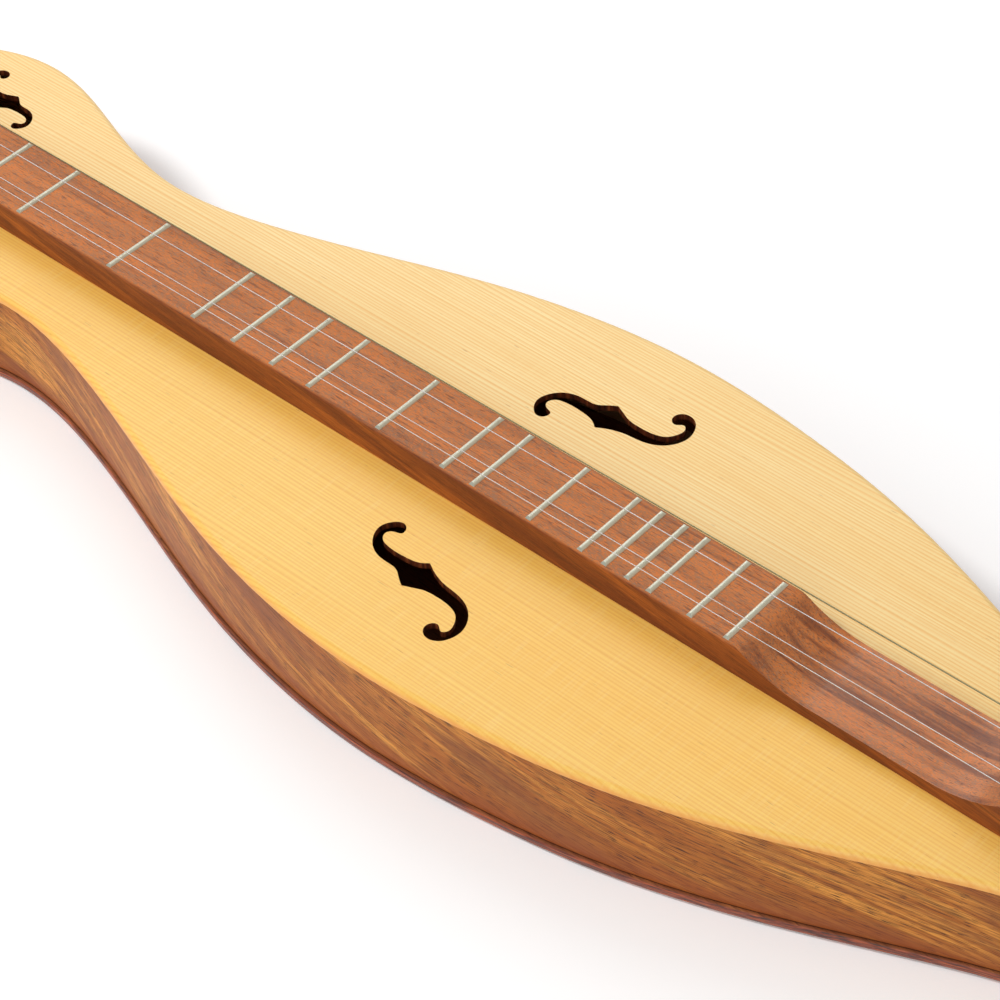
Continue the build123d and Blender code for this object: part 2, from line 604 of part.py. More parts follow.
def make_post(x, y):
    """Turned post: journal in the bushing, waisted top for the string, spigot for the gear."""
    bottom = WORM_Z - GEAR_THICKNESS / 2
    outline = [
        (0, POST_TOP), (POST_RADIUS - POST_CHAMFER, POST_TOP),
        (POST_RADIUS, POST_TOP - POST_CHAMFER), (POST_RADIUS, POST_WAIST_TOP + POST_CHAMFER),
        (POST_WAIST_RADIUS, POST_WAIST_TOP), (POST_WAIST_RADIUS, POST_WAIST_BOTTOM),
        (POST_RADIUS, POST_WAIST_BOTTOM - POST_CHAMFER), (POST_RADIUS, POST_SHOULDER),
        (POST_SPIGOT_RADIUS, POST_SHOULDER), (POST_SPIGOT_RADIUS, bottom), (0, bottom),
    ]
    post = revolve(Plane.XZ * make_face(Polyline(*outline, close=True)), Axis.Z)
    post -= Pos(0, 0, STRING_HOLE_Z) * Rot(0, 90, 0) * Cylinder(STRING_HOLE_RADIUS, FAR)
    post -= Pos(0, 0, bottom) * Cylinder(SCREW_RADIUS, 2 * GEAR_SCREW_LENGTH)
    return Pos(x, y, 0) * post


def make_screw(head_size, length):
    """Slotted round-head screw, head down, its shank pointing up from Z = 0."""
    radius, height = head_size
    head = Pos(0, 0, -height / 2) * Cylinder(radius, height)
    head = fillet(head.edges().group_by(Axis.Z)[0], height / 2)
    head -= Pos(0, 0, -height) * Box(2 * radius, SCREW_SLOT, height)
    return head + Pos(0, 0, length / 2) * Cylinder(SCREW_RADIUS, length)


def make_bushing(x, y):
    """A sleeve pressed into the peghead, with a thin flange on its face."""
    tube = Cylinder(BUSHING_RADIUS, BUSHING_LENGTH)
    flange = Cylinder(BUSHING_FLANGE_RADIUS, BUSHING_FLANGE)
    flange = fillet(flange.edges().group_by(Axis.Z)[-1], BUSHING_FLANGE / 2)
    bushing = Pos(0, 0, -BUSHING_LENGTH / 2) * tube + Pos(0, 0, BUSHING_FLANGE / 2) * flange
    return Pos(x, y, PEGHEAD_TOP) * (bushing - Cylinder(POST_RADIUS + RUNNING_PLAY, FAR))


def make_winding(x, y, diameter):
    """The turns of string on the post, between where the string meets it and its hole."""
    rings = []
    for turn in range(WINDING_TURNS):
        z = STRING_POST_Z + WINDING_GAP + diameter + turn * (diameter + GROOVE_PLAY)
        ring = Torus(POST_WAIST_RADIUS + diameter / 2 + GROOVE_PLAY, diameter / 2)
        rings.append(Pos(x, y, z) * ring)
    return Compound(rings)


def make_machines():
    bushings = []
    mount_screws = []
    for name, diameter, _, _, x, y in COURSES:
        side = 1 if y > 0 else -1
        worm_x = x - WORM_OFFSET
        save(f"tuner_{name}_plate", make_plate(x, y))
        save(f"tuner_{name}_worm", make_worm(worm_x, y, side))
        save(f"tuner_{name}_button", make_button(worm_x, side))
        save(f"tuner_{name}_post", make_post(x, y))
        save(f"tuner_{name}_gear", make_gear(x, y))
        gear_screw = make_screw(GEAR_SCREW_HEAD, GEAR_SCREW_LENGTH)
        save(f"tuner_{name}_gear_screw", Pos(x, y, WORM_Z - GEAR_THICKNESS / 2) * gear_screw)
        save(f"tuner_{name}_winding", make_winding(x, y, diameter))
        bushings.append(make_bushing(x, y))
        for screw_x in mount_screw_places(x):
            screw = make_screw(MOUNT_SCREW_HEAD, MOUNT_SCREW_LENGTH)
            mount_screws.append(Pos(screw_x, y, PEGHEAD_BOTTOM - PLATE_THICKNESS) * screw)
    save("post_bushings", Compound(bushings))
    save("tuner_mount_screws", Compound(mount_screws))


os.makedirs("parts", exist_ok=True)
make_sound_box()
make_neck_pieces()
save("peghead", make_peghead())
make_machines()
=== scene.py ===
import bpy
import json
from math import cos, pi, radians, sin
from mathutils import Matrix, Vector


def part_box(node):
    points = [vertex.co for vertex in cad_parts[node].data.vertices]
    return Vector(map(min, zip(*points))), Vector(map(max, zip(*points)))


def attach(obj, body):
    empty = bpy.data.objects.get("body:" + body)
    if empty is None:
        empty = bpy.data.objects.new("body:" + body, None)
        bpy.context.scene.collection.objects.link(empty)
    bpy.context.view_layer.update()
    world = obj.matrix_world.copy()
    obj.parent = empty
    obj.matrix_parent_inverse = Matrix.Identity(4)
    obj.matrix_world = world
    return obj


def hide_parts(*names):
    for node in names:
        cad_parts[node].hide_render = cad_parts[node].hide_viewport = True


# Looks of the mountain dulcimer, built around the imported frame. Metres.

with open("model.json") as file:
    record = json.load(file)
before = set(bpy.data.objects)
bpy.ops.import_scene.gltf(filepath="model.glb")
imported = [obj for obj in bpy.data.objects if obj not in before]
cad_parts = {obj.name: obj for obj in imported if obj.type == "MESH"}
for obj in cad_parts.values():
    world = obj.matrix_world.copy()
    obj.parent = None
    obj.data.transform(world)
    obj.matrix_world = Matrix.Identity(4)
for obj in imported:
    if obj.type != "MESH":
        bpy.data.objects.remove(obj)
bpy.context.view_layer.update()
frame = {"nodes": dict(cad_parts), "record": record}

MM = 0.001
NODES = frame["nodes"]
COURSES = ("bass", "middle", "melody_inner", "melody_outer")
NUT_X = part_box("nut")[1].x
BOARD_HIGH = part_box("fretboard")[1]
TOP_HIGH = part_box("soundboard")[1]
FRETS_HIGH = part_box("frets")[1]


def srgb(red, green, blue):
    """A colour given as 0-255 screen values, in the linear form that shaders take."""
    def linear(value):
        share = value / 255
        return share / 12.92 if share <= 0.04045 else ((share + 0.055) / 1.055) ** 2.4
    return (linear(red), linear(green), linear(blue), 1.0)


# ---- a small builder for procedural materials ---------------------------------
class Graph:
    def __init__(self, name):
        self.material = bpy.data.materials.new(name)
        self.material.use_nodes = True
        self.tree = self.material.node_tree
        self.tree.nodes.clear()
        coordinates = self.add("TexCoord")
        self.place = coordinates.outputs["Object"]
        self.facing = coordinates.outputs["Normal"]

    def add(self, kind, **settings):
        node = self.tree.nodes.new("ShaderNode" + kind)
        for key, value in settings.items():
            setattr(node, key, value)
        return node

    def feed(self, socket, value):
        if isinstance(value, bpy.types.NodeSocket):
            self.tree.links.new(value, socket)
        else:
            socket.default_value = value

    def calc(self, operation, first, second=0.0, third=0.0):
        node = self.add("Math", operation=operation)
        for socket, value in zip(node.inputs, (first, second, third)):
            self.feed(socket, value)
        return node.outputs[0]

    def axes(self, source=None):
        """X, Y and Z of a vector as three values."""
        node = self.add("SeparateXYZ")
        self.feed(node.inputs[0], source or self.place)
        return node.outputs

    def vector(self, x, y, z):
        node = self.add("CombineXYZ")
        for socket, value in zip(node.inputs, (x, y, z)):
            self.feed(socket, value)
        return node.outputs[0]

    def stretch(self, scale, turn=(0, 0, 0), source=None):
        """Coordinates turned (degrees), then scaled to cycles per metre."""
        node = self.add("Mapping", vector_type="POINT")
        self.feed(node.inputs["Vector"], source or self.place)
        node.inputs["Rotation"].default_value = [radians(angle) for angle in turn]
        scaled = self.add("VectorMath", operation="MULTIPLY")
        self.feed(scaled.inputs[0], node.outputs[0])
        scaled.inputs[1].default_value = scale
        return scaled.outputs[0]

    def noise(self, vector, detail=3.0, roughness=0.5, distortion=0.0):
        node = self.add("TexNoise", noise_dimensions="3D")
        self.feed(node.inputs["Vector"], vector)
        node.inputs["Scale"].default_value = 1.0
        node.inputs["Detail"].default_value = detail
        node.inputs["Roughness"].default_value = roughness
        node.inputs["Distortion"].default_value = distortion
        return node.outputs[0]

    def ramp(self, value, *stops, smooth=False):
        """Map a value through (place, colour or grey) stops."""
        node = self.add("ValToRGB")
        node.color_ramp.interpolation = "EASE" if smooth else "LINEAR"
        elements = node.color_ramp.elements
        while len(elements) < len(stops):
            elements.new(0.5)
        for element, (place, colour) in zip(elements, stops):
            element.position = place
            element.color = colour if isinstance(colour, tuple) else (colour, colour, colour, 1.0)
        self.feed(node.inputs[0], value)
        return node.outputs[0]

    def mix(self, share, first, second, blend="MIX"):
        node = self.add("Mix", data_type="RGBA", blend_type=blend)
        self.feed(node.inputs[0], share)
        self.feed(node.inputs[6], first)
        self.feed(node.inputs[7], second)
        return node.outputs[2]

    def bump(self, height, strength, depth, below=None):
        node = self.add("Bump")
        node.inputs["Strength"].default_value = strength
        node.inputs["Distance"].default_value = depth
        self.feed(node.inputs["Height"], height)
        if below is not None:
            self.feed(node.inputs["Normal"], below)
        return node.outputs[0]

    def finish(self, colour, roughness, normal=None, **uniform):
        shader = self.add("BsdfPrincipled")
        self.feed(shader.inputs["Base Color"], colour)
        self.feed(shader.inputs["Roughness"], roughness)
        if normal is not None:
            self.feed(shader.inputs["Normal"], normal)
        for key, value in uniform.items():
            shader.inputs[key.replace("_", " ")].default_value = value
        output = self.add("OutputMaterial")
        self.tree.links.new(shader.outputs[0], output.inputs["Surface"])
        return self.material


# ---- woods --------------------------------------------------------------------------
RING_PITCH = 1.7 * MM
FLAME = 0.9
FIBRE_LEAN_SHARE = 0.7
LOWER_HOLE_FROM_NUT = 0.452
LOWER_HOLE_FROM_MIDDLE = 0.058
UPPER_HOLE_FROM_NUT = 0.096
UPPER_HOLE_FROM_MIDDLE = 0.045
UPPER_HOLE_SCALE = 0.72
HOLES = ((NUT_X + LOWER_HOLE_FROM_NUT, LOWER_HOLE_FROM_MIDDLE, 1.0),
         (NUT_X + UPPER_HOLE_FROM_NUT, UPPER_HOLE_FROM_MIDDLE, UPPER_HOLE_SCALE))
HOLE_HALF_LENGTH = 0.033
HOLE_HALF_WIDTH = 0.021
UPRIGHT_LIMIT = 0.35
BACK_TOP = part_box("back_board")[1].z
SIDE_FOOT_HEIGHT = 12.0 * MM
JOINT_SHADOW_HEIGHT = 0.6 * MM
SIDE_LEAN = -20.0
SEAM_HALF_WIDTH = 0.18 * MM
HOLLOW_FROM_NUT = 0.633
HOLLOW_MIDDLE = NUT_X + HOLLOW_FROM_NUT
HOLLOW_HALF_LENGTH = 0.057
HOLLOW_FADE_DEPTH = 5.0 * MM
HOLLOW_ROUGHNESS = (0.24, 0.24, 0.24, 1.0)


def spruce():
    """Quarter-sawn spruce: straight fine rings along X, cross silk; painted sheen on the bass half,
    painted shade on the treble half and on the hole walls.
    """
    g = Graph("spruce")
    x, y, _ = g.axes()
    sway = g.noise(g.stretch((3.0, 14.0, 0.0)), detail=2.0)
    across = g.calc("MULTIPLY_ADD", sway, 6.0 * MM, g.calc("ABSOLUTE", y))
    crowding = g.noise(g.vector(0.0, g.calc("MULTIPLY", across, 45.0), 0.0), detail=2.0)
    count = g.calc("MULTIPLY_ADD", crowding, 5.0, g.calc("DIVIDE", across, RING_PITCH))
    late = g.ramp(g.calc("FRACT", count), (0.0, 0.5), (0.18, 0.0), (0.50, 0.10), (0.86, 1.0), (1.0, 0.6))
    ring_tone = g.noise(g.vector(0.0, g.calc("MULTIPLY", across, 350.0), 0.0), detail=1.0)
    late = g.calc("MULTIPLY", late, g.ramp(ring_tone, (0.3, 0.6), (0.7, 1.0)))
    fibre = g.noise(g.stretch((18.0, 2200.0, 2200.0)), detail=2.0)
    silk = g.noise(g.stretch((1100.0, 60.0, 60.0)), detail=2.0)
    broad = g.noise(g.stretch((4.0, 30.0, 30.0)), detail=2.0)
    # Painted light: the bass half is painted paler as a painted sheen, the treble half deeper orange as
    # painted shade.
    treble_half_shaded = g.ramp(broad, (0.35, srgb(253, 202, 94)), (0.65, srgb(252, 210, 110)))
    bass_half_sheen = g.ramp(broad, (0.35, srgb(252, 220, 148)), (0.65, srgb(253, 226, 160)))
    colour = g.mix(g.calc("GREATER_THAN", y, 0.0), treble_half_shaded, bass_half_sheen)
    colour = g.mix(g.calc("MULTIPLY", late, 0.75), colour, srgb(236, 168, 66))
    colour = g.mix(g.ramp(fibre, (0.35, 0.0), (0.72, 0.40)), colour, srgb(234, 172, 84))
    colour = g.mix(g.ramp(silk, (0.50, 0.0), (0.75, 0.18)), colour, srgb(253, 226, 156))
    fleck = g.noise(g.stretch((140.0, 1700.0, 1700.0)), detail=1.0)
    colour = g.mix(g.ramp(fleck, (0.735, 0.0), (0.80, 0.55)), colour, srgb(176, 112, 58))
    steep = g.ramp(g.axes(g.facing)[2], (0.25, 1.0), (0.85, 0.0))
    colour = g.mix(g.calc("MULTIPLY", steep, 0.7), colour, srgb(232, 148, 58))
    # Painted shade: the upright sound-hole walls take a dark brown colour, with real ring stripes in it.
    colour = g.mix(hole_wall_mask(g, x, y), colour, shaded_hole_wall(g))
    rough = g.ramp(fibre, (0.3, 0.36), (0.8, 0.48))
    relief = g.calc("MULTIPLY_ADD", late, 0.6, g.calc("MULTIPLY", fibre, 0.4))
    normal = g.bump(relief, 0.14, 0.05 * MM)
    return g.finish(colour, rough, normal, Coat_Weight=0.25, Coat_Roughness=0.30)


def hole_wall_mask(g, x, y):
    """1 on the upright walls of the sound holes, 0 on the rest of the soundboard."""
    upright = g.calc("LESS_THAN", g.calc("ABSOLUTE", g.axes(g.facing)[2]), UPRIGHT_LIMIT)
    near_hole = 0.0
    for centre_x, centre_y, scale in HOLES:
        along = g.calc("COMPARE", x, centre_x, HOLE_HALF_LENGTH * scale)
        across = g.calc("COMPARE", g.calc("ABSOLUTE", y), centre_y, HOLE_HALF_WIDTH * scale)
        near_hole = g.calc("MAXIMUM", near_hole, g.calc("MULTIPLY", along, across))
    return g.calc("MULTIPLY", upright, near_hole)


def shaded_hole_wall(g):
    """Painted shade on a sound-hole wall: dark brown, with upright stripes where the rings cross it."""
    stripes = g.noise(g.stretch((700.0, 700.0, 60.0)), detail=2.0)
    return g.ramp(stripes, (0.3, srgb(40, 18, 12)), (0.55, srgb(104, 48, 26)), (0.75, srgb(170, 92, 48)))


def figured_wood(g, place, pale, mid, dark, lean=0.0, grain=0.5, pore=0.6):
    """Colour and relief of a brown hardwood whose figure leans by an angle in degrees."""
    tilt = (0, lean, 0)
    broad = g.noise(g.stretch((6.0, 55.0, 55.0), tilt, place), detail=3.0, distortion=0.8)
    ribbon = g.noise(g.stretch((14.0, 260.0, 260.0), tilt, place), detail=4.0, roughness=0.6)
    fine_tilt = (0, lean * FIBRE_LEAN_SHARE, 0)
    fibre = g.noise(g.stretch((60.0, 1900.0, 1900.0), fine_tilt, place), detail=3.0, roughness=0.65)
    pores = g.noise(g.stretch((170.0, 2400.0, 2400.0), fine_tilt, place), detail=1.0)
    colour = g.ramp(broad, (0.36, mid), (0.60, pale))
    colour = g.mix(g.calc("MULTIPLY", g.ramp(ribbon, (0.42, 1.0), (0.60, 0.0)), FLAME), colour, mid)
    colour = g.mix(g.ramp(ribbon, (0.60, 0.0), (0.74, 0.7)), colour, dark)
    colour = g.mix(g.ramp(fibre, (0.46, 0.0), (0.66, grain)), colour, dark)
    pore_mask = g.ramp(pores, (0.60, 0.0), (0.68, pore))
    colour = g.mix(pore_mask, colour, dark)
    relief = g.calc("SUBTRACT", g.calc("MULTIPLY", fibre, 0.5), pore_mask)
    return colour, relief, fibre


def side_wood():
    """Bent side: the figure follows the wall, so Y only tells the two sides apart."""
    g = Graph("side_wood")
    x, y, z = g.axes()
    wall = g.vector(x, g.calc("SIGN", y), z)
    colour, relief, fibre = figured_wood(g, wall, srgb(232, 156, 62), srgb(172, 94, 22),
                                         srgb(52, 22, 10), lean=SIDE_LEAN, grain=0.8, pore=0.95)
    patches = g.noise(g.stretch((10.0, 1.0, 45.0), (0, SIDE_LEAN, 0), wall), detail=2.0)
    colour = g.mix(g.ramp(patches, (0.50, 0.0), (0.62, 0.6)), colour, srgb(128, 68, 30))
    above_back = g.calc("DIVIDE", g.calc("SUBTRACT", z, BACK_TOP), SIDE_FOOT_HEIGHT)
    foot = g.ramp(above_back, (0.0, 0.75), (1.0, 0.0))
    colour = g.mix(foot, colour, srgb(150, 74, 34))
    # Painted shadow: a dark line along the foot of the side, where the gap to the back falls in shade.
    joint_shadow = g.calc("LESS_THAN", z, BACK_TOP + JOINT_SHADOW_HEIGHT)
    colour = g.mix(g.calc("MULTIPLY", joint_shadow, 0.85), colour, srgb(46, 20, 12))
    rough = g.ramp(fibre, (0.3, 0.38), (0.8, 0.54))
    return g.finish(colour, rough, g.bump(relief, 0.22, 0.08 * MM), Specular_IOR_Level=0.25)


def back_wood():
    """Book-matched back with a darker red-brown end-grain rim."""
    g = Graph("back_wood")
    x, y, z = g.axes()
    leaf = g.vector(x, g.calc("MULTIPLY", z, 0.3), g.calc("ABSOLUTE", y))
    colour, relief, fibre = figured_wood(g, leaf, srgb(176, 108, 62), srgb(134, 76, 46),
                                         srgb(74, 38, 26), lean=4.0)
    layers = g.noise(g.stretch((45.0, 300.0, 2600.0)), detail=3.0)
    rim = g.ramp(layers, (0.36, srgb(44, 20, 14)), (0.5, srgb(128, 52, 24)), (0.66, srgb(190, 92, 40)))
    steep = g.ramp(g.calc("ABSOLUTE", g.axes(g.facing)[2]), (0.75, 1.0), (0.95, 0.0))
    colour = g.mix(steep, colour, rim)
    seam = g.calc("LESS_THAN", g.calc("ABSOLUTE", y), SEAM_HALF_WIDTH)
    colour = g.mix(g.calc("MULTIPLY", seam, 0.7), colour, srgb(60, 30, 20))
    rough = g.ramp(fibre, (0.3, 0.36), (0.8, 0.52))
    return g.finish(colour, rough, g.bump(relief, 0.22, 0.08 * MM), Coat_Weight=0.25, Coat_Roughness=0.28)


def peghead_wood():
    """Lacquered brown hardwood, plainer than the back."""
    g = Graph("peghead_wood")
    colour, relief, fibre = figured_wood(g, g.place, srgb(190, 118, 64), srgb(150, 86, 48),
                                         srgb(84, 44, 30), lean=5.0)
    rough = g.ramp(fibre, (0.3, 0.34), (0.8, 0.50))
    return g.finish(colour, rough, g.bump(relief, 0.22, 0.08 * MM), Coat_Weight=0.25, Coat_Roughness=0.28)


def fretboard_wood():
    """Open-pored playing face on red-brown flanks, the flanks darker partly as painted shade."""
    g = Graph("fretboard_wood")
    face_tone = g.noise(g.stretch((16.0, 150.0, 150.0)), detail=4.0, roughness=0.6)
    face = g.ramp(face_tone, (0.34, srgb(158, 98, 56)), (0.50, srgb(188, 114, 58)),
                  (0.68, srgb(208, 122, 56)))
    grit = g.noise(g.stretch((820.0, 1900.0, 1900.0)), detail=3.0, roughness=0.75)
    face = g.mix(g.ramp(grit, (0.50, 0.0), (0.64, 0.85)), face, srgb(216, 118, 54))
    face = g.mix(g.ramp(grit, (0.36, 0.85), (0.49, 0.0)), face, srgb(150, 110, 84))
    streaks = g.noise(g.stretch((12.0, 520.0, 520.0)), detail=3.0, roughness=0.6)
    face = g.mix(g.ramp(streaks, (0.56, 0.0), (0.70, 0.6)), face, srgb(118, 66, 42))
    pores = g.noise(g.stretch((190.0, 2300.0, 2300.0)), detail=1.0)
    pore_mask = g.ramp(pores, (0.60, 0.0), (0.69, 0.65))
    face = g.mix(pore_mask, face, srgb(92, 52, 36))
    flank, _, fibre = figured_wood(g, g.place, srgb(176, 94, 34), srgb(122, 56, 22),
                                   srgb(62, 26, 12), lean=-9.0, pore=0.4)
    x, _, z = g.axes()
    depth = g.calc("DIVIDE", g.calc("SUBTRACT", BOARD_HIGH.z, z), HOLLOW_FADE_DEPTH)
    inside_hollow = g.calc("MULTIPLY", g.calc("COMPARE", x, HOLLOW_MIDDLE, HOLLOW_HALF_LENGTH),
                           g.ramp(depth, (0.05, 0.0), (1.0, 1.0)))
    bands = g.noise(g.stretch((9.0, 210.0, 60.0)), detail=3.0, roughness=0.55, distortion=0.6)
    banding = g.ramp(bands, (0.47, 0.0), (0.63, 0.7))
    scraped = g.mix(banding, face, srgb(96, 44, 28))
    face = g.mix(inside_hollow, face, scraped)
    # Partly painted shade: faces that turn sideways take the darker flank colour, the up-facing face the
    # paler face colour.
    topside = g.ramp(g.axes(g.facing)[2], (0.45, 0.0), (0.95, 1.0))
    colour = g.mix(topside, flank, face)
    rough = g.ramp(grit, (0.3, 0.46), (0.7, 0.66))
    roughened = g.calc("MULTIPLY_ADD", grit, 0.6, g.calc("MULTIPLY", fibre, 0.3))
    height = g.calc("SUBTRACT", roughened, pore_mask)
    normal = g.bump(height, 0.28, 0.08 * MM)
    rough = g.mix(g.calc("MULTIPLY", inside_hollow, topside), rough, HOLLOW_ROUGHNESS)
    return g.finish(colour, rough, normal, Specular_IOR_Level=0.45)


def bare_wood(name, pale, dark):
    """Sanded, unlacquered wood of the hidden pieces."""
    g = Graph(name)
    streaks = g.noise(g.stretch((20.0, 700.0, 700.0)), detail=4.0)
    fibre = g.noise(g.stretch((120.0, 2600.0, 2600.0)), detail=2.0)
    colour = g.mix(streaks, pale, dark)
    colour = g.mix(g.ramp(fibre, (0.4, 0.0), (0.8, 0.3)), colour, dark)
    return g.finish(colour, 0.7, g.bump(fibre, 0.3, 0.1 * MM))


# ---- metals, bone and plastic ------------------------------------------------------------
TARNISH_SHADE = 0.72
WRAP_WIRE_PITCH = 0.25 * MM
WRAP_WIRE_LEAN = 0.35
FLOOR_GLOW = 0.10


def metal(name, colour, roughness, brush=(300.0, 3000.0, 3000.0)):
    """Polished metal with fine brush marks and faint tarnish."""
    g = Graph(name)
    marks = g.noise(g.stretch(brush), detail=2.0)
    tarnish = g.noise(g.stretch((180.0, 180.0, 180.0)), detail=3.0)
    shade = tuple(TARNISH_SHADE * channel for channel in colour[:3]) + (1.0,)
    tone = g.mix(g.ramp(tarnish, (0.45, 0.0), (0.75, 0.5)), colour, shade)
    rough = g.ramp(marks, (0.3, roughness * 0.8), (0.7, roughness * 1.3))
    return g.finish(tone, rough, g.bump(marks, 0.08, 0.02 * MM), Metallic=1.0)


def fret_metal():
    """Nickel silver crowns with painted reflections: a painted highlight on the flank towards the nut, a
    duller painted reflection on top.
    """
    g = Graph("fret_wire")
    marks = g.noise(g.stretch((3000.0, 200.0, 3000.0)), detail=2.0)
    # Painted highlight and reflection: the crown colour follows which way its surface faces.
    lean = g.calc("MULTIPLY_ADD", g.axes(g.facing)[0], 0.5, 0.5)
    tone = g.ramp(lean, (0.36, srgb(246, 242, 222)), (0.46, srgb(186, 192, 176)),
                  (0.56, srgb(206, 206, 186)), (0.70, srgb(226, 218, 190)))
    tone = g.mix(g.ramp(marks, (0.4, 0.0), (0.7, 0.25)), tone, srgb(246, 244, 230))
    return g.finish(tone, 0.42, g.bump(marks, 0.08, 0.02 * MM), Metallic=0.75)


def wound_wire():
    """Bronze-toned wrap wire, ridged every quarter of a millimetre."""
    g = Graph("wound_wire")
    x, y, _ = g.axes()
    lean = g.calc("ADD", x, g.calc("MULTIPLY", y, WRAP_WIRE_LEAN))
    ridge = g.calc("SINE", g.calc("MULTIPLY", lean, 2 * pi / WRAP_WIRE_PITCH))
    height = g.calc("MULTIPLY_ADD", ridge, 0.5, 0.5)
    # Painted shade in the grooves between turns and a paler painted highlight on the crests, following
    # the ridge height.
    colour = g.mix(height, srgb(120, 110, 74), srgb(216, 206, 160))
    return g.finish(colour, 0.42, g.bump(height, 0.6, 0.06 * MM), Metallic=1.0)


def bone():
    """Pale bone with faint veins and specks."""
    g = Graph("bone")
    veins = g.noise(g.stretch((300.0, 120.0, 900.0)), detail=4.0)
    specks = g.noise(g.stretch((1800.0, 1800.0, 1800.0)), detail=1.0)
    colour = g.mix(veins, srgb(240, 232, 208), srgb(226, 212, 180))
    colour = g.mix(g.ramp(specks, (0.66, 0.0), (0.74, 0.4)), colour, srgb(196, 176, 136))
    return g.finish(colour, 0.34, g.bump(veins, 0.1, 0.05 * MM), Subsurface_Weight=0.08)


def ivory_plastic():
    """Swirled ivory-coloured button plastic."""
    g = Graph("ivory_plastic")
    swirl = g.noise(g.stretch((160.0, 160.0, 160.0)), detail=3.0, distortion=2.5)
    colour = g.ramp(swirl, (0.35, srgb(214, 200, 166)), (0.5, srgb(236, 226, 198)),
                    (0.65, srgb(222, 210, 178)))
    return g.finish(colour, 0.18, g.bump(swirl, 0.05, 0.1 * MM), Coat_Weight=0.4, Coat_Roughness=0.06)


def pale_floor():
    """Nearly white floor that glows a little, so that it stays pale in the shade."""
    g = Graph("pale_floor")
    mottle = g.noise(g.stretch((3.0, 3.0, 3.0)), detail=2.0)
    white = g.mix(mottle, srgb(252, 252, 252), srgb(255, 255, 255))
    return g.finish(white, 0.9, Emission_Color=(1.0, 1.0, 1.0, 1.0), Emission_Strength=FLOOR_GLOW)


SLOT_MATERIALS = {
    "spruce_top": spruce(),
    "peghead_wood": peghead_wood(),
    "inner_wood": bare_wood("inner_wood", srgb(226, 196, 150), srgb(196, 160, 112)),
    "fretboard_wood": fretboard_wood(),
    "fret_wire": fret_metal(),
    "bone": bone(),
    "wound_string": wound_wire(),
    "plain_string": metal("plain_string", srgb(252, 252, 252), 0.48),
    "gear_brass": metal("gear_brass", srgb(206, 168, 92), 0.28),
    "button_ivory": ivory_plastic(),
    "plated_metal": metal("plated_metal", srgb(214, 212, 206), 0.16),
}
NODE_MATERIALS = {"back_board": back_wood()}
NODE_MATERIALS["side_treble"] = NODE_MATERIALS["side_bass"] = side_wood()


def dress_cad_nodes():
    """Give every CAD node its own material, or else the one of its slot in the record."""
    for entry in frame["record"]["subparts"]:
        name = entry["node"]
        slots = NODES[name].data.materials
        slots.clear()
        slots.append(NODE_MATERIALS.get(name) or SLOT_MATERIALS[entry["material_slot"]])


# ---- string windings and wraps ------------------------------------------------------------
POST_WAIST_RADIUS = 2.6 * MM
PIN_RADIUS = 1.0 * MM
WINDING_RINGS = 3
WINDING_GAP = 0.3 * MM
RING_PLAY = 0.02 * MM
HOLE_BELOW_POST_TOP = 3.6 * MM
START_TURN = -0.125
ARRIVAL_TURN = 0.9
FIRST_RING_TURN = 1.25
LAST_RING_TURN = 3.25
TURNS_TO_HOLE = 4.25
CORNER_CUT = 0.25
END_BEND = 0.5 * MM
CUT_END = 2.2 * MM
STRIP_PLAY = 0.05 * MM
TWIST_LENGTH = 12.0 * MM
LOOP_FROM_BODY = 3.0 * MM
PIN_HEAD_RADIUS = 2.0 * MM
WRAP_TURNS = 14
WRAP_REACH = 1.6
WRAP_THICKNESS = 0.8
STEPS_PER_TURN = 24
WIRE_SIDES = 8


def wire_piece(name, points, radius, slot):
    """A closed round wire through the points, its cross-section carried along without twist."""
    vertices = []
    across = Vector((0.0, 0.0, 1.0))
    last = len(points) - 1
    for index, point in enumerate(points):
        ahead = (points[min(index + 1, last)] - points[max(index - 1, 0)]).normalized()
        across = (across - ahead * across.dot(ahead)).normalized()
        beside = ahead.cross(across)
        for side in range(WIRE_SIDES):
            angle = 2 * pi * side / WIRE_SIDES
            vertices.append(point + (across * cos(angle) + beside * sin(angle)) * radius)
    faces = [tuple(reversed(range(WIRE_SIDES))), tuple(range(last * WIRE_SIDES, len(vertices)))]
    for ring in range(last):
        for side in range(WIRE_SIDES):
            here = ring * WIRE_SIDES + side
            there = ring * WIRE_SIDES + (side + 1) % WIRE_SIDES
            faces.append((here, there, there + WIRE_SIDES, here + WIRE_SIDES))
    mesh = bpy.data.meshes.new(name)
    mesh.from_pydata(vertices, [], faces)
    mesh.shade_smooth()
    mesh.materials.append(SLOT_MATERIALS[slot])
    piece = bpy.data.objects.new(name, mesh)
    bpy.context.scene.collection.objects.link(piece)
    return piece


def rounded(points):
    """The same route with its corners cut off twice."""
    for _ in range(2):
        cut = [points[0]]
        for first, second in zip(points, points[1:]):
            cut += [first.lerp(second, CORNER_CUT), first.lerp(second, 1 - CORNER_CUT)]
        points = cut + [points[-1]]
    return points


def level_at(turn, levels):
    """Height after so many turns, between (turn, height) stops."""
    for (turn_a, z_a), (turn_b, z_b) in zip(levels, levels[1:]):
        if turn <= turn_b:
            return z_a + (z_b - z_a) * (turn - turn_a) / (turn_b - turn_a)
    return levels[-1][1]


def string_slot(course):
    """The bass string is wound, the others are plain."""
    return "wound_string" if course == "bass" else "plain_string"


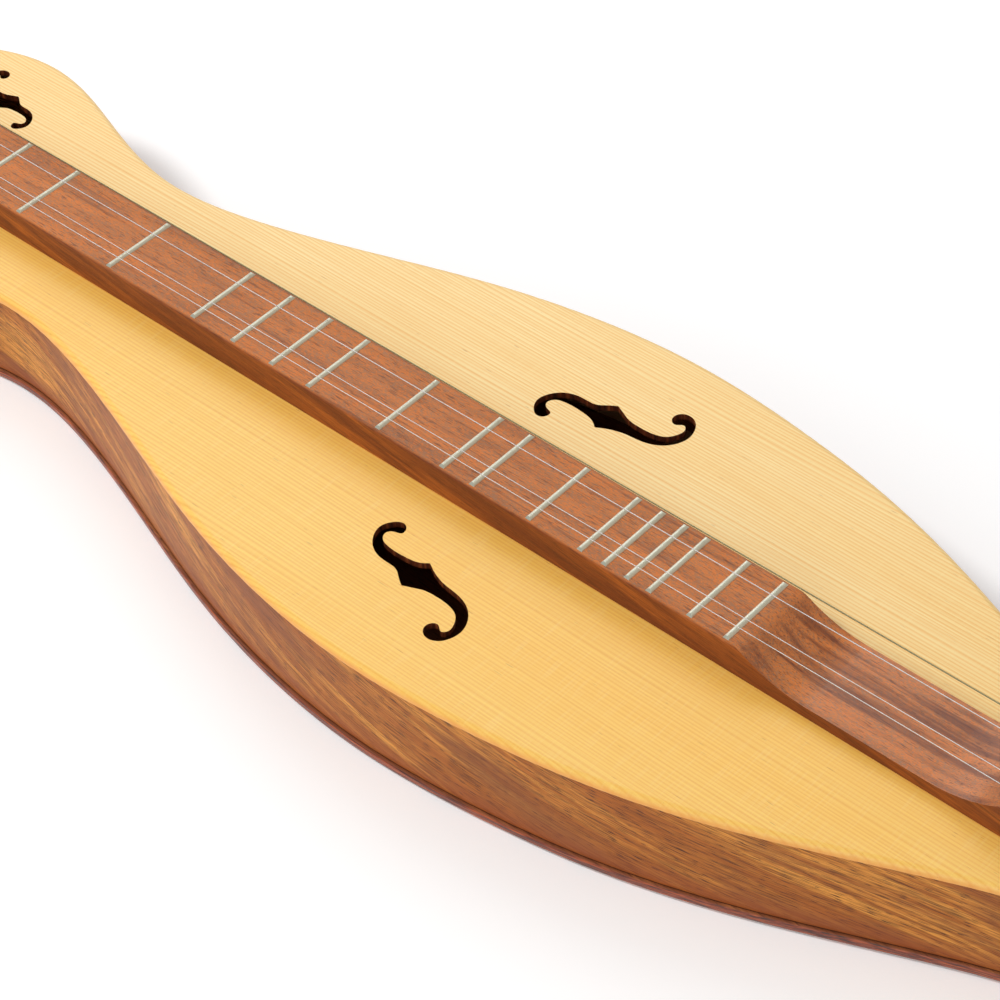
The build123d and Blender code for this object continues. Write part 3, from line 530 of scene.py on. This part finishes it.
def make_winding(course):
    """Turns that start level with the string and climb to the hole, which the end goes through."""
    node = f"tuner_{course}_winding"
    low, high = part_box(node)
    centre = (low + high) / 2
    rings_tall = high.z - low.z - (WINDING_RINGS - 1) * RING_PLAY
    diameter = rings_tall / WINDING_RINGS
    reach = POST_WAIST_RADIUS + RING_PLAY + diameter / 2
    hole_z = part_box(f"tuner_{course}_post")[1].z - HOLE_BELOW_POST_TOP
    string_z = low.z - WINDING_GAP - diameter / 2
    levels = [(START_TURN, string_z), (ARRIVAL_TURN, string_z),
              (FIRST_RING_TURN, low.z + diameter / 2), (LAST_RING_TURN, high.z - diameter / 2),
              (TURNS_TO_HOLE, hole_z)]
    turning = -1.0 if centre.y > 0 else 1.0
    route = []
    for step in range(int((TURNS_TO_HOLE - START_TURN) * STEPS_PER_TURN)):
        turn = START_TURN + step / STEPS_PER_TURN
        angle = turning * (pi / 2 + 2 * pi * turn)
        route.append(Vector((centre.x + reach * cos(angle), centre.y + reach * sin(angle),
                             level_at(turn, levels))))
    hole = Vector((centre.x, centre.y, hole_z))
    through = [Vector((-reach, 0.0, 0.0)), Vector((-reach / 2, 0.0, 0.0)),
               Vector((reach + END_BEND, 0.0, 0.0)), Vector((reach + CUT_END, END_BEND, END_BEND))]
    route += rounded([hole + offset for offset in through])
    piece = wire_piece(f"string_winding_{course}", route, diameter / 2, string_slot(course))
    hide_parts(node)
    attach(piece, f"{course}_post")


def make_wrap(course):
    """The string wrapped tightly round itself above its loop on the hitch pin."""
    string = NODES[f"string_{course}"]
    low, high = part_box(f"string_{course}")
    places = [string.matrix_world @ vertex.co for vertex in string.data.vertices]
    tail = [place for place in places if place.x > high.x - MM]
    y = (min(place.y for place in tail) + max(place.y for place in tail)) / 2
    pin_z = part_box("hitch_pins")[0].z + PIN_HEAD_RADIUS
    radius = (pin_z - PIN_RADIUS - low.z) / 2
    strip_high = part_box("tail_strip")[1]
    corner = Vector((strip_high.x + STRIP_PLAY + radius, y, strip_high.z + radius))
    loop_top = Vector((strip_high.x + LOOP_FROM_BODY, y, pin_z + PIN_RADIUS + radius))
    upward = (corner - loop_top).normalized()
    sideways = Vector((0.0, 1.0, 0.0))
    outward = upward.cross(sideways)
    route = []
    steps = WRAP_TURNS * STEPS_PER_TURN // 2
    for step in range(steps + 1):
        share = step / steps
        angle = 2 * pi * WRAP_TURNS * share
        offset = (sideways * cos(angle) + outward * sin(angle)) * radius * WRAP_REACH
        route.append(loop_top + upward * TWIST_LENGTH * share + offset)
    piece = wire_piece(f"string_wrap_{course}", route, radius * WRAP_THICKNESS, string_slot(course))
    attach(piece, "instrument")


# ---- studio -----------------------------------------------------------------------------
FLOOR_SIZE = 12.0
CAMERA_AZIMUTH = radians(44.84)
CAMERA_ELEVATION = radians(45.04)
CAMERA_ROLL = radians(-4.08)
CAMERA_DISTANCE = 1.064
CAMERA_LENS = 100.06
AIM_FROM_NUT = 0.4593
AIM_Y = -0.0174
SENSOR_WIDTH = 36.0
NEAREST_SEEN = 0.01
LIT_MIDDLE_X = 0.1
WORLD_STRENGTH = 0.47


def make_floor():
    half = FLOOR_SIZE / 2
    mesh = bpy.data.meshes.new("floor")
    corners = [(-half, -half, 0), (half, -half, 0), (half, half, 0), (-half, half, 0)]
    mesh.from_pydata(corners, [], [(0, 1, 2, 3)])
    floor = bpy.data.objects.new("floor", mesh)
    bpy.context.scene.collection.objects.link(floor)
    mesh.materials.append(pale_floor())


def aim(eye, target, roll=0.0):
    """A matrix at eye whose -Z looks at target, turned by roll about that line."""
    back = (eye - target).normalized()
    right = Vector((0, 0, 1)).cross(back).normalized()
    up = back.cross(right)
    turned_right = right * cos(roll) + up * sin(roll)
    turned_up = up * cos(roll) - right * sin(roll)
    matrix = Matrix((turned_right, turned_up, back)).transposed().to_4x4()
    matrix.translation = eye
    return matrix


def make_camera():
    camera_data = bpy.data.cameras.new("camera")
    camera = bpy.data.objects.new("camera", camera_data)
    bpy.context.scene.collection.objects.link(camera)
    target = Vector((NUT_X + AIM_FROM_NUT, AIM_Y, FRETS_HIGH.z))
    away = Vector((sin(CAMERA_AZIMUTH) * cos(CAMERA_ELEVATION),
                   -cos(CAMERA_AZIMUTH) * cos(CAMERA_ELEVATION), sin(CAMERA_ELEVATION)))
    camera.matrix_world = aim(target + away * CAMERA_DISTANCE, target, CAMERA_ROLL)
    camera_data.lens = CAMERA_LENS
    camera_data.sensor_width = SENSOR_WIDTH
    camera_data.clip_start = NEAREST_SEEN
    bpy.context.scene.camera = camera


def make_light(name, direction, distance, size, power, mirrored=True):
    """A round soft box that looks at the middle of the body."""
    data = bpy.data.lights.new(name, "AREA")
    data.shape = "DISK"
    data.size = size
    data.energy = power
    light = bpy.data.objects.new(name, data)
    light.visible_glossy = mirrored
    bpy.context.scene.collection.objects.link(light)
    middle = Vector((LIT_MIDDLE_X, 0.0, TOP_HIGH.z))
    light.matrix_world = aim(middle + Vector(direction).normalized() * distance, middle)


def make_studio():
    make_floor()
    make_light("key", (-0.56, -0.34, 0.75), distance=3.0, size=0.6, power=42.0, mirrored=False)
    make_light("panel", (-0.54, 0.52, 0.66), distance=3.0, size=2.4, power=20.0)
    make_light("fill", (0.35, -0.80, 0.40), distance=2.6, size=2.0, power=13.0)
    world = bpy.data.worlds.new("studio")
    bpy.context.scene.world = world
    world.use_nodes = True
    background = world.node_tree.nodes["Background"]
    background.inputs[0].default_value = (1.0, 1.0, 1.0, 1.0)
    background.inputs[1].default_value = WORLD_STRENGTH
    bpy.context.scene.view_settings.view_transform = "Standard"


make_camera()
dress_cad_nodes()
for course in COURSES:
    make_winding(course)
    make_wrap(course)
make_studio()
